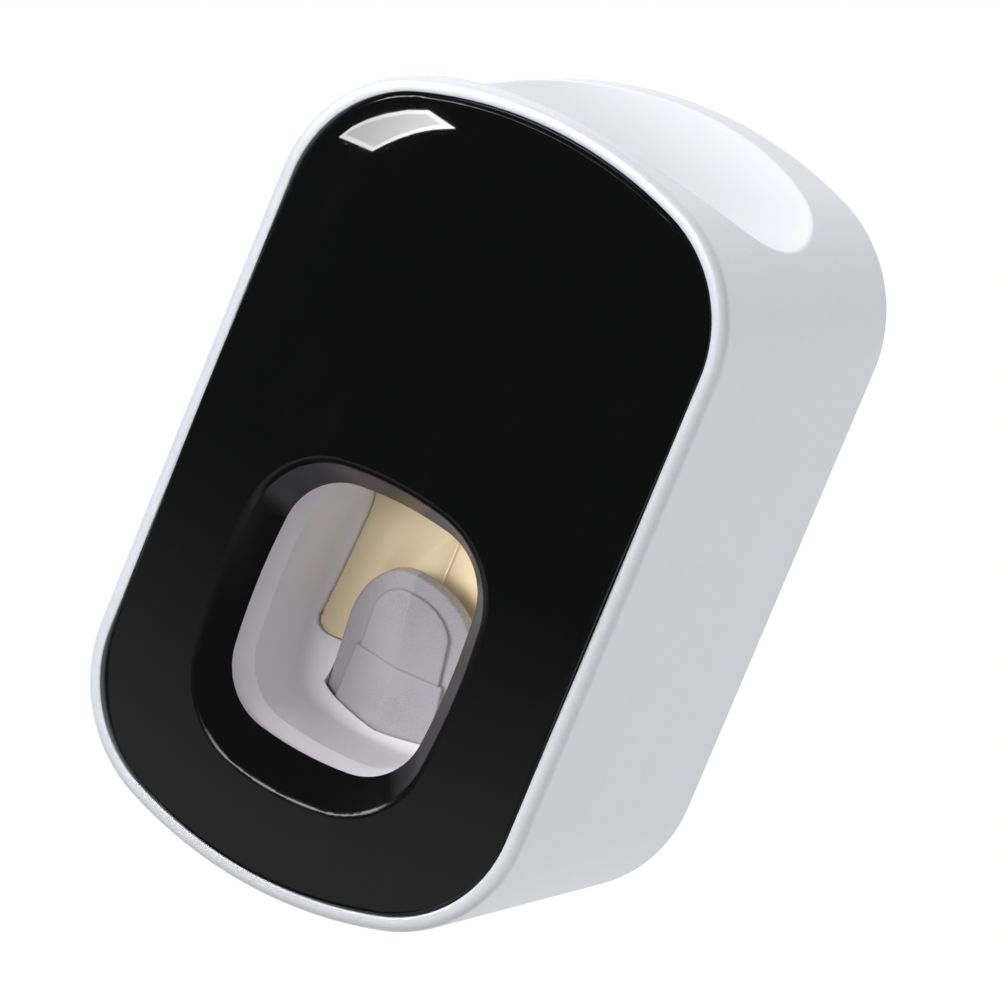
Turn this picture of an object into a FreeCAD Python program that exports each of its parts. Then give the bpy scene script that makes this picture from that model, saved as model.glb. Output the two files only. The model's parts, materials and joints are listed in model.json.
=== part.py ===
"""Wall-hung toothpaste dispenser: a brush pushed into the window tips a lever that squeezes a pump bulb.

Frame: +Z up, +X to the right seen from the front, the front faces -Y, origin on the wall face.
All lengths are millimetres.
"""
import FreeCAD
import Part
import math
import os

Vector = FreeCAD.Vector
ACROSS = Vector(1, 0, 0)
INWARD = Vector(0, 1, 0)
UP = Vector(0, 0, 1)

# General values
overrun = 4.0
closeness = 0.02
edge_probe_shares = (0.0, 0.5, 1.0)
seat_clearance = 0.1
screw_clearance = 0.05
pin_clearance = 0.05

# Housing: a bowed, rounded tube with a front wall and a dished top, as high and deep as what it holds
housing_width = 66.0
end_bow_radius = 59.8
corner_radius = 19.8
wall = 2.0
front_wall = 2.0
front_edge_round = 1.4
back_edge_round = 0.8
wall_gap = 1.0

# Dish in the top, where the tube's shoulder rests
dish_depth = 12.0
dish_rise = 30.0
dish_side_land = 6.7
dish_front_land = 1.0
dish_back_land = 7.2
dish_lip_round = 0.7

# Tube socket under the dish
boss_radius = 15.0
boss_drop = 5.4
socket_flange_radius = 13.0
socket_flange = 2.0
socket_edge_round = 0.6
barrel_radius = 10.5
socket_bore_radius = 8.5
seal_lip_drop = 0.5
neck_bore_radius = 6.5
neck_lead_in = 0.8
duct_screw_circle_radius = 12.7
duct_screw_count = 3

# Domed front panel and its flared window
panel_thickness = 1.8
panel_gap = 0.15
panel_back_gap = 0.2
panel_edge_round = 0.7
panel_crown = 4.2
panel_dome_depth = 30.0
panel_dome_spread_share = 1.12
window_width = 29.9
window_height = 35.4
window_low_land = 19.0
window_side_bow = 95.0
window_end_bow = 48.0
window_corner = 9.0
flare_lead = 1.0
flare_side = 5.1
flare_top = 3.7
flare_bottom = 8.9
flare_round = 1.1
peg_radius = 2.0
peg_length = 7.6
peg_slit = 0.8
peg_slit_depth = 5.0
peg_side_land = 10.0
peg_end_land = 12.4
peg_boss_radius = 3.6
peg_boss_length = 6.3

# Brush chamber behind the window
chamber_wall = 1.6
chamber_step = 0.4
chamber_lip_gap = 0.3
chamber_depth = 24.0
chamber_blend = 5.0
mouth_taper = 1.0
mouth_depth = 5.0
chamber_hole_gap = 0.3
flange_margin = 2.6
flange_thickness = 2.0
flange_boss_height = 4.0
flange_boss_radius = 3.2
ear_radius = 3.4
ear_side_gap = 4.2
ear_low_rise = 2.4
ear_high_drop = 1.0
post_radius = 3.0
post_rail_gap = 0.1
post_low_rise = 11.4
post_high_drop = 10.0
opening_low_half = 13.7
opening_high_half = 12.6
opening_low_rise = 9.5
opening_high_drop = 3.0
opening_corner = 2.3

# Push lever, its pin and its spring
lever_lean_deg = 11.5
lever_half_width = 9.4
lever_reach = 32.3
lever_arch = 12.5
arch_side_share = 0.7
arch_drop_share = 0.33
lever_front = 1.3
lever_back = 0.9
lever_wall = 1.8
lever_side_gap = 0.2
lever_front_gap = 0.35
hub_radius = 3.2
hub_gap = 0.8
pivot_set_back = 1.5
hub_inner_x = 3.6
pin_radius = 1.5
lug_thickness = 2.8
lug_radius = 4.2
lug_rise = 9.0
pin_proud = 0.6
spring_coil_radius = 2.4
spring_wire_radius = 0.35
spring_pitch = 1.3
spring_turns = 3
spring_leg = 10.5
spring_rest_v = 8.0
spring_rest_width = 2.4
spring_gap = 0.12
spring_rib_half_width = 3.0
spring_rib_reach = 10.1
spring_rib_thickness = 2.0
pad_half_width = 7.0
pad_low_rise = 14.4
pad_high_rise = 25.4
pad_round = 0.5
pad_bulb_gap = 0.3

# Folded face of the lever: how far forward its ridge stands, and the raised field on it
fold_foot_ridge = 2.4
fold_step_v = 17.8
fold_step_ridge = 2.9
fold_top_ridge = 5.8
field_top_v = 29.6
field_top_half = 5.6
field_step_half = 6.2
field_arch = 7.4
field_rise = 0.5
field_root = 0.5
hollow_v = 26.6
foot_field_low_v = 3.4
foot_field_low_half = 8.0
foot_field_step_half = 6.8
foot_field_rise = 0.75

# Pump bulb, the soft bag that the lever squeezes
bulb_gap = 1.4
bulb_half_width = 17.0
bulb_low_rise = 5.4
bulb_head = 15.0
bulb_thickness = 13.0
bulb_corner = 12.0
bulb_round = 5.0
bulb_wall = 1.6
bulb_neck_wall = 1.5
bulb_neck_height = 4.0
bulb_spout_wall = 1.5
bulb_spout_length = 4.2
bulb_spout_gap = 0.85
boss_side_gap = 0.15
boss_sink = 0.4
boss_pad_gap = 0.5
neck_clip_wall = 1.0
neck_clip_height = 2.4

# Feed duct from the socket to the bulb
duct_outer_radius = 5.5
duct_inner_radius = 4.0
duct_flange = 2.5
duct_flange_radius = 14.8
duct_drop = 13.5
duct_plug = 5.0
valve_radius = 9.4
valve_thickness = 1.2
valve_slit = 0.4
valve_flap_radius = 4.6
duct_cup_depth = 1.4

# Outlet nozzle over the brush
nozzle_outer_radius = 3.6
nozzle_inner_radius = 2.4
nozzle_bend = 6.0
nozzle_run = 3.3
nozzle_plug = 3.4
nozzle_collar_radius = 5.0
nozzle_collar = 1.0
nozzle_tip_drop = 0.8
nozzle_hole_gap = 0.25
tip_valve_flange = 1.2
tip_valve_plug = 1.8
tip_valve_bore_radius = 1.2
tip_valve_slit = 0.3

# Pump frame, the plate that the bulb is squeezed against
frame_gap = 0.3
frame_plate = 2.5
frame_half_width = 18.8
frame_low_rise = 2.4
frame_head_drop = 2.0
frame_corner = 8.0
frame_rail_wall = 1.5
frame_rail_gap = 0.4
frame_rail_height = 5.0
frame_ear_radius = 3.2

# Back cover, wall plate and adhesive pad
cover_thickness = 2.4
cover_gap = 0.2
cover_boss_radius = 3.5
cover_boss_sink = 0.4
cover_boss_length = 11.0
plate_thickness = 2.4
plate_gap = 0.2
plate_half_width = 20.0
plate_height = 52.0
plate_end_land = 18.4
plate_corner = 5.0
pad_thickness = 1.0
pad_margin = 1.0
hook_x = 11.0
hook_width = 10.0
hook_drop = 18.0
hook_room = 4.5
hook_stem = 4.0
hook_lip = 1.8
hook_lip_rise = 6.0
hook_gap = 0.3
hook_side_gap = 0.4
hook_rest_gap = 0.1
lift_travel = 7.0
lift_spare = 0.6
hook_round = 0.8

# Screws
screw_shank_radius = 1.2
screw_head_radius = 2.5
screw_head = 1.6
screw_head_round = 0.6
screw_recess = 0.8
screw_recess_width = 0.7
screw_recess_length = 2.6
screw_bite = 4.5
screw_pilot_spare = 0.5

# Overall sizes, from the stack of pieces over the window and from front to back
head_stack = dish_depth + socket_flange + boss_drop + duct_flange + duct_drop + bulb_neck_height + bulb_head
housing_height = head_stack + window_height + window_low_land
pump_stack = chamber_wall + bulb_gap + bulb_thickness + frame_gap + frame_plate + screw_head
back_stack = hook_room + hook_lip + hook_gap + cover_thickness + plate_gap + plate_thickness + pad_thickness
housing_depth = chamber_depth + pump_stack + back_stack - wall_gap

# Depths, from the wall at zero to the front
front_y = -(wall_gap + housing_depth)
back_y = -wall_gap
crown_y = front_y - panel_crown
panel_back_y = front_y + panel_thickness
wall_front_y = panel_back_y + panel_back_gap
wall_back_y = wall_front_y + front_wall
flange_front_y = wall_back_y + flange_boss_height
flange_back_y = flange_front_y + flange_thickness
chamber_front_y = panel_back_y + chamber_lip_gap
chamber_back_y = front_y + chamber_depth
chamber_outer_y = chamber_back_y + chamber_wall
bulb_front_y = chamber_outer_y + bulb_gap
bulb_back_y = bulb_front_y + bulb_thickness
bulb_mid_y = bulb_front_y + bulb_thickness / 2
bulb_spout_y = bulb_front_y - bulb_spout_length
nozzle_y = bulb_spout_y - nozzle_run - nozzle_bend
frame_front_y = bulb_back_y + frame_gap
frame_back_y = frame_front_y + frame_plate
plate_back_y = -pad_thickness
plate_front_y = plate_back_y - plate_thickness
cover_back_y = plate_front_y - plate_gap
cover_front_y = cover_back_y - cover_thickness
pivot_y = chamber_outer_y + pivot_set_back
dish_half_depth = (housing_depth - front_edge_round - dish_front_land - dish_back_land) / 2
dish_y = front_y + front_edge_round + dish_front_land + dish_half_depth

# Heights, from the middle of the housing
top_z = housing_height / 2
window_high_z = top_z - head_stack
window_low_z = window_high_z - window_height
window_center_z = (window_high_z + window_low_z) / 2
dish_floor_z = top_z - dish_depth
socket_seat_z = dish_floor_z - socket_flange
boss_low_z = socket_seat_z - boss_drop
chamber_low_z = window_low_z - chamber_step - chamber_wall
chamber_high_z = window_high_z + chamber_step + chamber_wall
pivot_z = chamber_low_z - hub_gap - hub_radius
pad_low_z = pivot_z + pad_low_rise
pad_high_z = pivot_z + pad_high_rise
ear_low_z = window_low_z + ear_low_rise
ear_high_z = window_high_z - ear_high_drop
post_low_z = window_low_z + post_low_rise
post_high_z = window_high_z - post_high_drop
opening_low_z = window_low_z + opening_low_rise
opening_high_z = window_high_z - opening_high_drop
bulb_low_z = window_low_z + bulb_low_rise
bulb_high_z = window_high_z + bulb_head
bulb_neck_top_z = bulb_high_z + bulb_neck_height
nozzle_tip_z = window_high_z - nozzle_tip_drop
frame_low_z = window_low_z + frame_low_rise
frame_high_z = bulb_high_z - frame_head_drop
peg_z = top_z - peg_end_land
plate_high_z = top_z - plate_end_land
plate_low_z = plate_high_z - plate_height
hook_low_z = plate_high_z - hook_drop

# Places across, angles and fits
chamber_half_width = window_width / 2 + chamber_step + chamber_wall
ear_x = chamber_half_width + ear_side_gap
post_x = bulb_half_width + frame_rail_gap + frame_rail_wall + post_rail_gap + post_radius
peg_x = housing_width / 2 - peg_side_land
dish_half_length = housing_width / 2 - dish_side_land
cover_screw_x = housing_width / 2 - wall - cover_boss_radius + cover_boss_sink
lever_lean = math.radians(lever_lean_deg)
bulb_neck_bore = duct_outer_radius + screw_clearance
bulb_neck_radius = bulb_neck_bore + bulb_neck_wall
bulb_spout_bore = nozzle_outer_radius + screw_clearance
bulb_spout_radius = bulb_spout_bore + bulb_spout_wall
bulb_spout_z = chamber_high_z + bulb_spout_gap + bulb_spout_radius
pilot_radius = screw_shank_radius + screw_clearance


class Outline:
    """A rounded outline whose ends, and sides if a bow is given, are shallow arcs."""

    def __init__(self, half_width, half_height, corner, end_bow=None, side_bow=None, center_z=0.0):
        self.half_width = half_width
        self.half_height = half_height
        self.corner = corner
        self.end_bow = end_bow
        self.side_bow = side_bow
        self.center_z = center_z

    def grown(self, margin):
        """The same outline, offset outwards by a margin."""
        end_bow = self.end_bow + margin if self.end_bow else None
        side_bow = self.side_bow + margin if self.side_bow else None
        return Outline(self.half_width + margin, self.half_height + margin, self.corner + margin,
                       end_bow, side_bow, self.center_z)

    def corner_center(self):
        """Centre of the corner arc in the first quadrant, about the outline's own centre."""
        if self.end_bow and self.side_bow:
            side_x = self.half_width - self.side_bow
            end_z = self.half_height - self.end_bow
            side_reach = self.side_bow - self.corner
            end_reach = self.end_bow - self.corner
            span = math.hypot(side_x, end_z)
            along = (side_reach ** 2 - end_reach ** 2 + span ** 2) / (2 * span)
            off = math.sqrt(side_reach ** 2 - along ** 2)
            step_x = -side_x / span
            step_z = end_z / span
            return side_x + along * step_x - off * step_z, along * step_z + off * step_x
        x = self.half_width - self.corner
        if self.end_bow:
            end_z = self.half_height - self.end_bow
            return x, end_z + math.sqrt((self.end_bow - self.corner) ** 2 - x ** 2)
        return x, self.half_height - self.corner

    def surface_z(self, x):
        """Height of the outline's top edge above its centre at a place across."""
        corner_x, corner_z = self.corner_center()
        end_z = self.half_height - self.end_bow
        tangent_x = corner_x * self.end_bow / (self.end_bow - self.corner)
        if abs(x) <= tangent_x:
            return end_z + math.sqrt(self.end_bow ** 2 - x ** 2)
        return corner_z + math.sqrt(self.corner ** 2 - (abs(x) - corner_x) ** 2)

    def wire(self, y):
        """The closed outline in the plane at depth y."""
        corner_x, corner_z = self.corner_center()
        side = (self.half_width, corner_z)
        if self.side_bow:
            side_x = self.half_width - self.side_bow
            stretch = self.side_bow / (self.side_bow - self.corner)
            side = (side_x + (corner_x - side_x) * stretch, corner_z * stretch)
        end = (corner_x, self.half_height)
        if self.end_bow:
            end_z = self.half_height - self.end_bow
            stretch = self.end_bow / (self.end_bow - self.corner)
            end = (corner_x * stretch, end_z + (corner_z - end_z) * stretch)
        middle = Vector(side[0] + end[0] - 2 * corner_x, 0, side[1] + end[1] - 2 * corner_z)
        middle.normalize()
        bend = (corner_x + self.corner * middle.x, corner_z + self.corner * middle.z)

        def place(point, sign_x, sign_z):
            return Vector(sign_x * point[0], y, self.center_z + sign_z * point[1])

        def stretch_edge(start, finish, through, bowed):
            if bowed:
                return Part.Arc(start, through, finish).toShape()
            return Part.LineSegment(start, finish).toShape()

        edges = []
        side_mid = (self.half_width, 0)
        end_mid = (0, self.half_height)
        edges.append(stretch_edge(place(side, 1, -1), place(side, 1, 1),
                                  place(side_mid, 1, 1), self.side_bow))
        edges.append(Part.Arc(place(side, 1, 1), place(bend, 1, 1), place(end, 1, 1)).toShape())
        edges.append(stretch_edge(place(end, 1, 1), place(end, -1, 1),
                                  place(end_mid, 1, 1), self.end_bow))
        edges.append(Part.Arc(place(end, -1, 1), place(bend, -1, 1), place(side, -1, 1)).toShape())
        edges.append(stretch_edge(place(side, -1, 1), place(side, -1, -1),
                                  place(side_mid, -1, 1), self.side_bow))
        edges.append(Part.Arc(place(side, -1, -1), place(bend, -1, -1), place(end, -1, -1)).toShape())
        edges.append(stretch_edge(place(end, -1, -1), place(end, 1, -1),
                                  place(end_mid, 1, -1), self.end_bow))
        edges.append(Part.Arc(place(end, 1, -1), place(bend, 1, -1), place(side, 1, -1)).toShape())
        return Part.Wire(edges)

    def prism(self, start_y, finish_y):
        """The outline as a solid between two depths."""
        return Part.Face(self.wire(start_y)).extrude(INWARD * (finish_y - start_y))


def slab(low, high, corner, half_width):
    """An outline between two heights with plain round corners."""
    return Outline(half_width, (high - low) / 2, corner, center_z=(low + high) / 2)


def rod(radius, start, finish):
    """A round bar between two points."""
    run = finish - start
    return Part.makeCylinder(radius, run.Length, start, run)


def tube(outer, inner, start, finish):
    """A round tube between two points."""
    return rod(outer, start, finish).cut(rod(inner, start, finish))


def block(low, high):
    """A box between two corners."""
    size = high - low
    return Part.makeBox(size.x, size.y, size.z, low)


def ellipsoid(half_x, half_y, half_z, center):
    """A unit ball scaled to three half axes."""
    grow = FreeCAD.Matrix()
    grow.scale(half_x, half_y, half_z)
    shape = Part.makeSphere(1).transformGeometry(grow)
    shape.translate(center)
    return shape


def rounded(shape, radius, chosen):
    """Fillets the edges for which the test on (low, high) corners is true."""
    edges = []
    for edge in shape.Edges:
        box = edge.BoundBox
        if chosen(Vector(box.XMin, box.YMin, box.ZMin), Vector(box.XMax, box.YMax, box.ZMax)):
            edges.append(edge)
    return shape.makeFillet(radius, edges)


def in_plane_y(y):
    """A test for edges that lie in the plane at depth y."""
    return lambda low, high: abs(low.y - y) < closeness and abs(high.y - y) < closeness


def in_plane_z(z):
    """A test for edges that lie in the plane at height z."""
    return lambda low, high: abs(low.z - z) < closeness and abs(high.z - z) < closeness


def screw(seat, direction, bite):
    """A pan-head screw whose head rests on a seat and whose shank runs along a direction."""
    along = Vector(direction)
    along.normalize()
    crown = seat - along * screw_head
    head = rod(screw_head_radius, crown, seat)
    rims = [edge for edge in head.Edges
            if edge.Closed and edge.BoundBox.Center.distanceToPoint(crown) < closeness]
    head = head.makeFillet(screw_head_round, rims)
    body = head.fuse(rod(screw_shank_radius, seat, seat + along * bite))
    half = screw_recess_length / 2
    thin = screw_recess_width / 2
    slot = block(Vector(-half, -thin, 0), Vector(half, thin, screw_recess))
    cross = slot.fuse(block(Vector(-thin, -half, 0), Vector(thin, half, screw_recess)))
    turn = FreeCAD.Rotation(UP, along)
    cross.Placement = FreeCAD.Placement(crown, turn)
    return body.cut(cross)


def pairs(x, *heights):
    """Places mirrored left and right at each height."""
    return [(sign * x, z) for z in heights for sign in (-1, 1)]


def slow_turn(offset_y, drop, start, radius):
    """A round bar that runs down and sideways in two equal bends, from start."""
    bend = 2 * math.atan2(offset_y, drop)
    bend_radius = drop / (2 * math.sin(bend))
    half = bend / 2

    def point(y, z):
        return start + Vector(0, y, -z)

    knee_y = bend_radius * (1 - math.cos(half))
    knee_z = bend_radius * math.sin(half)
    middle = point(offset_y / 2, drop / 2)
    upper = Part.Arc(point(0, 0), point(knee_y, knee_z), middle).toShape()
    lower = Part.Arc(middle, point(offset_y - knee_y, drop - knee_z), point(offset_y, drop)).toShape()
    section = Part.Wire([Part.Circle(start, UP, radius).toShape()])
    return Part.Wire([upper, lower]).makePipeShell([section], True, False)


housing_outline = Outline(housing_width / 2, housing_height / 2, corner_radius, end_bow_radius)
window_outline = Outline(window_width / 2, window_height / 2, window_corner, window_end_bow,
                         window_side_bow, window_center_z)
flare_outline = Outline(window_width / 2 + flare_side, (window_height + flare_top + flare_bottom) / 2,
                        window_corner + flare_side, window_end_bow + flare_side,
                        window_side_bow + flare_side, window_center_z + (flare_top - flare_bottom) / 2)
mouth_outline = window_outline.grown(chamber_step)
throat_outline = mouth_outline.grown(-mouth_taper)
cover_outline = housing_outline.grown(-(wall + cover_gap))
panel_outline = housing_outline.grown(-(wall + panel_gap))
bulb_outline = slab(bulb_low_z, bulb_high_z, bulb_corner, bulb_half_width)
dish_center = Vector(0, dish_y, top_z + dish_rise)
cover_screw_z = housing_outline.corner_center()[1]
duct_screw_places = [(duct_screw_circle_radius * math.sin(2 * math.pi * step / duct_screw_count),
                      dish_y + duct_screw_circle_radius * math.cos(2 * math.pi * step / duct_screw_count))
                     for step in range(duct_screw_count)]


def dish(margin):
    """The ball whose lower cap is the dish, grown by a margin for its underside."""
    half_z = dish_rise + dish_depth
    half_y = dish_half_depth / math.sqrt(1 - (dish_rise / half_z) ** 2)
    end_drop = dish_rise + top_z - housing_outline.surface_z(dish_half_length)
    half_x = dish_half_length / math.sqrt(1 - (end_drop / half_z) ** 2)
    return ellipsoid(half_x + margin, half_y + margin, half_z + margin, dish_center)


def socket_axis(z):
    """A point on the axis of the tube socket."""
    return Vector(0, dish_y, z)


def on_dish_lip(edge):
    """True for an edge that runs where the dish meets the bowed top."""
    reach = 1 + wall / dish_half_depth
    for share in edge_probe_shares:
        point = edge.valueAt(edge.FirstParameter + share * (edge.LastParameter - edge.FirstParameter))
        spread = math.hypot(point.x / dish_half_length, (point.y - dish_y) / dish_half_depth)
        if point.z < 0 or spread > reach:
            return False
        if abs(point.z - housing_outline.surface_z(point.x)) > closeness:
            return False
    return True


def make_housing():
    body = housing_outline.prism(front_y, back_y)
    body = rounded(body, front_edge_round, in_plane_y(front_y))
    body = rounded(body, back_edge_round, in_plane_y(back_y))
    inside = housing_outline.grown(-wall).prism(wall_back_y, back_y + overrun)
    boss = rod(boss_radius, socket_axis(boss_low_z), socket_axis(top_z))
    keep = [dish(wall), boss]
    for x, z in pairs(cover_screw_x, -cover_screw_z, cover_screw_z):
        start = cover_front_y - cover_boss_length
        keep.append(rod(cover_boss_radius, Vector(x, start, z), Vector(x, cover_front_y, z)))
    for x, z in pairs(peg_x, -peg_z, peg_z):
        end_y = wall_back_y + peg_boss_length
        keep.append(rod(peg_boss_radius, Vector(x, wall_back_y, z), Vector(x, end_y, z)))
    for x, z in pairs(ear_x, ear_low_z, ear_high_z):
        keep.append(rod(flange_boss_radius, Vector(x, wall_back_y, z), Vector(x, flange_front_y, z)))
    body = body.cut(inside.cut(Part.makeCompound(keep)))
    body = body.cut(housing_outline.grown(-wall).prism(front_y - overrun, wall_front_y))
    body = body.cut(dish(0))

    body = body.makeFillet(dish_lip_round, [edge for edge in body.Edges if on_dish_lip(edge)])
    cuts = [rod(socket_flange_radius + seat_clearance, socket_axis(socket_seat_z), socket_axis(top_z)),
            rod(barrel_radius + seat_clearance, socket_axis(boss_low_z - overrun), socket_axis(top_z)),
            mouth_outline.grown(chamber_wall + chamber_hole_gap).prism(front_y, flange_front_y)]
    for x, y in duct_screw_places:
        cuts.append(rod(pilot_radius, Vector(x, y, boss_low_z - overrun),
                        Vector(x, y, boss_low_z + screw_bite - duct_flange + screw_pilot_spare)))
    for x, z in pairs(cover_screw_x, -cover_screw_z, cover_screw_z):
        deep = cover_back_y - screw_bite - screw_pilot_spare
        cuts.append(rod(pilot_radius, Vector(x, deep, z), Vector(x, back_y, z)))
    for x, z in pairs(peg_x, -peg_z, peg_z):
        cuts.append(rod(peg_radius + pin_clearance, Vector(x, front_y, z),
                        Vector(x, wall_back_y + peg_boss_length + overrun, z)))
    for x, z in pairs(ear_x, ear_low_z, ear_high_z):
        deep = flange_back_y - screw_bite - screw_pilot_spare
        cuts.append(rod(pilot_radius, Vector(x, deep, z), Vector(x, flange_back_y, z)))
    return body.cut(Part.makeCompound(cuts))


def panel_dome():
    """The ball whose front cap is the panel's face: it crosses the rim's plane just outside the panel."""
    rim_share = math.sqrt(1 - (1 - panel_crown / panel_dome_depth) ** 2)
    half_x = panel_outline.half_width * panel_dome_spread_share / rim_share
    half_z = panel_outline.half_height * panel_dome_spread_share / rim_share
    return ellipsoid(half_x, panel_dome_depth, half_z, Vector(0, crown_y + panel_dome_depth, 0))


def make_front_panel():
    panel = panel_outline.prism(crown_y - overrun, panel_back_y).common(panel_dome())
    at_back = in_plane_y(panel_back_y)

    def dome_edge(low, high):
        runs_inward = high.x - low.x < closeness and high.z - low.z < closeness
        return not at_back(low, high) and not runs_inward

    panel = rounded(panel, panel_edge_round, dome_edge)
    flare = Part.makeLoft([flare_outline.wire(crown_y - flare_lead), window_outline.wire(panel_back_y)],
                          True, True)
    panel = panel.cut(flare)
    low_z = flare_outline.center_z - flare_outline.half_height

    def flare_edge(low, high):
        within = max(-low.x, high.x) < flare_outline.half_width and low.z > low_z and high.z < peg_z
        runs_inward = high.y - low.y > panel_thickness
        return within and not runs_inward and high.y < front_y + closeness

    panel = rounded(panel, flare_round, flare_edge)
    for x, z in pairs(peg_x, -peg_z, peg_z):
        tip_y = panel_back_y + peg_length
        peg = rod(peg_radius, Vector(x, panel_back_y, z), Vector(x, tip_y, z))
        slit = block(Vector(x - peg_slit / 2, tip_y - peg_slit_depth, z - peg_radius - overrun),
                     Vector(x + peg_slit / 2, tip_y + overrun, z + peg_radius + overrun))
        panel = panel.fuse(peg.cut(slit))
    return panel


def lever_point(x, forward, along):
    """A point given across, forward of and along the lever, from its pivot."""
    return Vector(x,
                  pivot_y - along * math.sin(lever_lean) - forward * math.cos(lever_lean),
                  pivot_z + along * math.cos(lever_lean) - forward * math.sin(lever_lean))


def fold_ridge(along):
    """How far forward the lever's ridge stands at a distance up the lever."""
    if along < fold_step_v:
        share = along / fold_step_v
        return fold_foot_ridge + share * (fold_step_ridge - fold_foot_ridge)
    share = (along - fold_step_v) / (lever_reach - fold_step_v)
    return fold_step_ridge + share * (fold_top_ridge - fold_step_ridge)


def fold_section(along, half, rise, back):
    """A cross-section of the folded lever out to a half width, its face raised, its back at a distance."""
    ridge = fold_ridge(along)
    edge = ridge - (ridge - lever_front) * half / lever_half_width
    corners = [lever_point(-half, -back, along), lever_point(-half, edge + rise, along),
               lever_point(0, ridge + rise, along), lever_point(half, edge + rise, along),
               lever_point(half, -back, along), lever_point(-half, -back, along)]
    return Part.makePolygon(corners)


def fold_bar(low, low_half, high, high_half, rise, back):
    """A length of the folded lever between two distances up it."""
    return Part.makeLoft([fold_section(low, low_half, rise, back),
                          fold_section(high, high_half, rise, back)], True, True)


def lever_slot():
    """Room for the lever and for its swing to the back."""
    half = lever_half_width + lever_side_gap
    rise = foot_field_rise + lever_front_gap
    back = bulb_back_y - pivot_y
    low = fold_bar(-hub_radius - overrun, half, fold_step_v, half, rise, back)
    return low.fuse(fold_bar(fold_step_v, half, lever_reach, half, rise, back))


def arch_prism(half, reach, arch):
    """A bar with a pointed arch for an outline across the lever, from its back to past its ridge."""
    shoulder = reach - arch
    haunch_x = half * arch_side_share
    haunch = reach - arch * arch_drop_share

    def edge_point(x, along):
        return lever_point(x, -lever_back, along)

    tip = edge_point(0, reach)
    lines = [Part.LineSegment(edge_point(-half, 0), edge_point(-half, shoulder)),
             Part.Arc(edge_point(-half, shoulder), edge_point(-haunch_x, haunch), tip),
             Part.Arc(tip, edge_point(haunch_x, haunch), edge_point(half, shoulder)),
             Part.LineSegment(edge_point(half, shoulder), edge_point(half, 0)),
             Part.LineSegment(edge_point(half, 0), edge_point(-half, 0))]
    face = Part.Face(Part.Wire([line.toShape() for line in lines]))
    depth = lever_point(0, fold_top_ridge + overrun, 0) - lever_point(0, -lever_back, 0)
    return face.extrude(depth)


def back_opening(gap, end_y):
    """The opening in the chamber's back wall, wider at its foot, less a gap all round, to a depth."""
    start_y = chamber_back_y - chamber_blend
    low_half = opening_low_half - gap
    high_half = opening_high_half - gap
    low_z = opening_low_z + gap
    high_z = opening_high_z - gap
    corners = [Vector(-low_half, start_y, low_z), Vector(low_half, start_y, low_z),
               Vector(high_half, start_y, high_z), Vector(-high_half, start_y, high_z),
               Vector(-low_half, start_y, low_z)]
    depth = end_y - start_y
    opening = Part.Face(Part.makePolygon(corners)).extrude(INWARD * depth)
    return rounded(opening, opening_corner - gap, lambda low, high: high.y - low.y > depth - closeness)


def chamber_room(gap):
    """The space inside the chamber, grown by a gap to the sides and the back."""
    room = throat_outline.grown(gap).prism(chamber_front_y, chamber_back_y + gap)
    return rounded(room, chamber_blend + gap, in_plane_y(chamber_back_y + gap))


def bulb_boss():
    """The bulb's front, which fills the chamber's opening, clear of the lever and of its pad."""
    half = lever_half_width + lever_side_gap
    rise = foot_field_rise + lever_front_gap
    back = lever_back + lever_front_gap
    foot = fold_bar(-hub_radius - overrun, half, fold_step_v, half, rise, back)
    head = fold_bar(fold_step_v, half, lever_reach, half, rise, back)
    pad_half = pad_half_width + boss_pad_gap
    pad_room = block(Vector(-pad_half, chamber_front_y, opening_low_z - overrun),
                     Vector(pad_half, bulb_front_y, pad_high_z + boss_pad_gap))
    return back_opening(boss_side_gap, bulb_mid_y).cut(
        Part.makeCompound([chamber_room(boss_sink), foot, head, pad_room]))


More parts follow.
